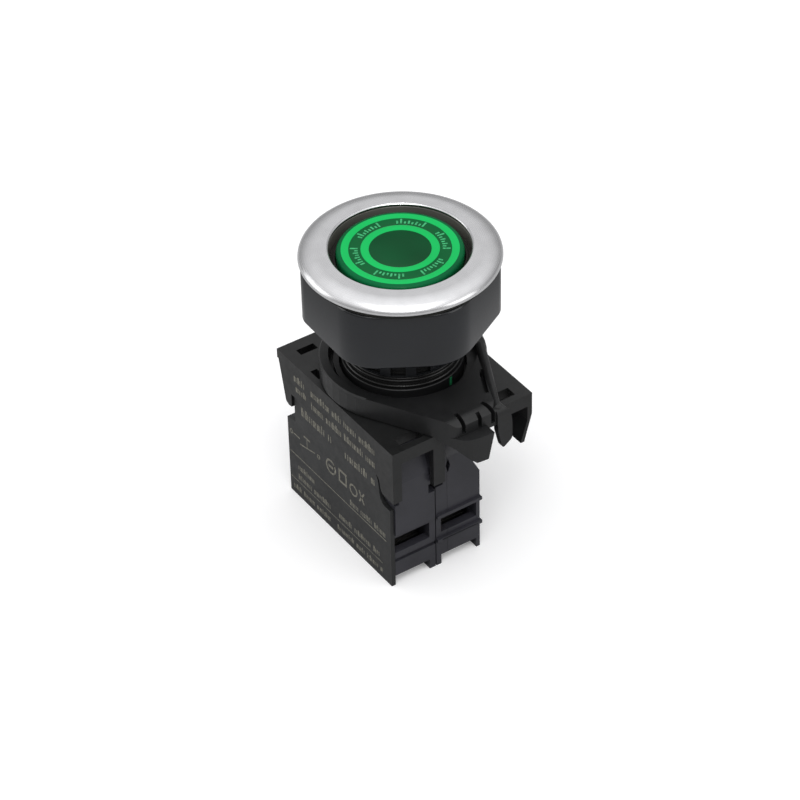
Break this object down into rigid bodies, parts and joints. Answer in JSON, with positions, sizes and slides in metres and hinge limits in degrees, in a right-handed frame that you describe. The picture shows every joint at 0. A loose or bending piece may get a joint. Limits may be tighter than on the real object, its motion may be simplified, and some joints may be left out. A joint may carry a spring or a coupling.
{
  "type": "industrial push button",
  "caption": "Illuminated flush push button with a metal bezel, clamp nut, bayonet base plate, contact block and lamp block.",
  "frame": {"origin": "on the button's axis, in the plane where the bezel's underside meets the panel", "axes": "+Z out of the panel towards the operator, +X along the blocks towards the lock lever, -Y towards the labelled face of the contact block"},
  "size_m": [0.0444, 0.0366, 0.061],
  "materials": {
    "satin_metal": "satin, fine turned grain",
    "grey_plastic": "satin moulded",
    "black_plastic": "fine matt moulded grain",
    "gloss_black_plastic": "smooth gloss",
    "black_rubber": "matt",
    "green_lens": "tinted translucent, polished",
    "white_plastic": "smooth matt",
    "green_paint": "printed",
    "spring_steel": "drawn wire",
    "plated_steel": "nickel plated",
    "brass": "stamped strip",
    "board_green": "solder resist",
    "lamp_resin": "clear moulded resin",
    "resistor_beige": "lacquered"
  },
  "bodies": {
    "chassis": {"bezel_ring": "satin_metal", "wiper_seal": "black_rubber", "panel_gasket": "black_rubber", "head_bushing": "gloss_black_plastic", "skirt_sleeve": "gloss_black_plastic", "window_band": "grey_plastic", "bayonet_spigot": "gloss_black_plastic", "index_mark": "green_paint", "return_spring": "spring_steel", "base_plate": "black_plastic", "contact_housing": "black_plastic", "contact_cover": "black_plastic", "plunger_spring": "spring_steel", "fixed_contact_front": "brass", "fixed_contact_rear": "brass", "lamp_housing": "black_plastic", "lamp_cover": "black_plastic", "circuit_board": "board_green", "led_lamp": "lamp_resin", "resistor": "resistor_beige", "rectifier": "gloss_black_plastic", "lamp_terminal_front": "brass", "lamp_terminal_rear": "brass"},
    "button": {"button_lens": "green_lens", "legend_disc": "white_plastic", "lens_holder": "white_plastic"},
    "contact_carriage": {"contact_plunger": "white_plastic", "contact_bridge": "brass", "contact_spring": "spring_steel"},
    "lock_ring": {"lock_ring": "black_plastic"},
    "clamp_nut": {"clamp_nut": "grey_plastic"},
    "contact_front_clamp": {"contact_clamp_front": "plated_steel"},
    "contact_rear_clamp": {"contact_clamp_rear": "plated_steel"},
    "lamp_front_clamp": {"lamp_clamp_front": "plated_steel"},
    "lamp_rear_clamp": {"lamp_clamp_rear": "plated_steel"},
    "contact_front_screw": {"contact_screw_front": "plated_steel"},
    "contact_rear_screw": {"contact_screw_rear": "plated_steel"},
    "lamp_front_screw": {"lamp_screw_front": "plated_steel"},
    "lamp_rear_screw": {"lamp_screw_rear": "plated_steel"}
  },
  "joints": [
    {"name": "button_press", "type": "slide", "parent": "chassis", "child": "button", "axis": [0, 0, -1], "range_m": [0, 0.0035], "stiffness_N_per_m": 800, "springref_m": -0.002, "deforming": ["return_spring"]},
    {"name": "contact_carriage_slide", "type": "slide", "parent": "chassis", "child": "contact_carriage", "axis": [0, 0, -1], "range_m": [0, 0.0035], "deforming": ["plunger_spring"]},
    {"name": "lock_ring_turn", "type": "hinge", "parent": "chassis", "child": "lock_ring", "pos_m": [0, 0, -0.024], "axis": [0, 0, 1], "range_deg": [0, 15]},
    {"name": "clamp_nut_turn", "type": "hinge", "parent": "chassis", "child": "clamp_nut", "pos_m": [0, 0, -0.007], "axis": [0, 0, 1], "continuous": true},
    {"name": "contact_front_clamp_lift", "type": "slide", "parent": "chassis", "child": "contact_front_clamp", "axis": [0, 0, 1], "range_m": [0, 0.0035]},
    {"name": "contact_rear_clamp_lift", "type": "slide", "parent": "chassis", "child": "contact_rear_clamp", "axis": [0, 0, 1], "range_m": [0, 0.0035]},
    {"name": "lamp_front_clamp_lift", "type": "slide", "parent": "chassis", "child": "lamp_front_clamp", "axis": [0, 0, 1], "range_m": [0, 0.0035]},
    {"name": "lamp_rear_clamp_lift", "type": "slide", "parent": "chassis", "child": "lamp_rear_clamp", "axis": [0, 0, 1], "range_m": [0, 0.0035]},
    {"name": "contact_front_screw_turn", "type": "hinge", "parent": "contact_front_clamp", "child": "contact_front_screw", "pos_m": [0.0115, -0.01, -0.052], "axis": [0, 0, 1], "range_deg": [0, 2101]},
    {"name": "contact_rear_screw_turn", "type": "hinge", "parent": "contact_rear_clamp", "child": "contact_rear_screw", "pos_m": [-0.0115, -0.01, -0.052], "axis": [0, 0, 1], "range_deg": [0, 2101]},
    {"name": "lamp_front_screw_turn", "type": "hinge", "parent": "lamp_front_clamp", "child": "lamp_front_screw", "pos_m": [0.0115, 0, -0.052], "axis": [0, 0, 1], "range_deg": [0, 2101]},
    {"name": "lamp_rear_screw_turn", "type": "hinge", "parent": "lamp_rear_clamp", "child": "lamp_rear_screw", "pos_m": [-0.0115, 0, -0.052], "axis": [0, 0, 1], "range_deg": [0, 2101]}
  ],
  "couplings": [
    {"joint": "contact_carriage_slide", "follows": "button_press", "ratio": 1},
    {"joint": "contact_front_screw_turn", "follows": "contact_front_clamp_lift", "rad_per_m": 10472},
    {"joint": "contact_rear_screw_turn", "follows": "contact_rear_clamp_lift", "rad_per_m": 10472},
    {"joint": "lamp_front_screw_turn", "follows": "lamp_front_clamp_lift", "rad_per_m": 10472},
    {"joint": "lamp_rear_screw_turn", "follows": "lamp_rear_clamp_lift", "rad_per_m": 10472}
  ]
}
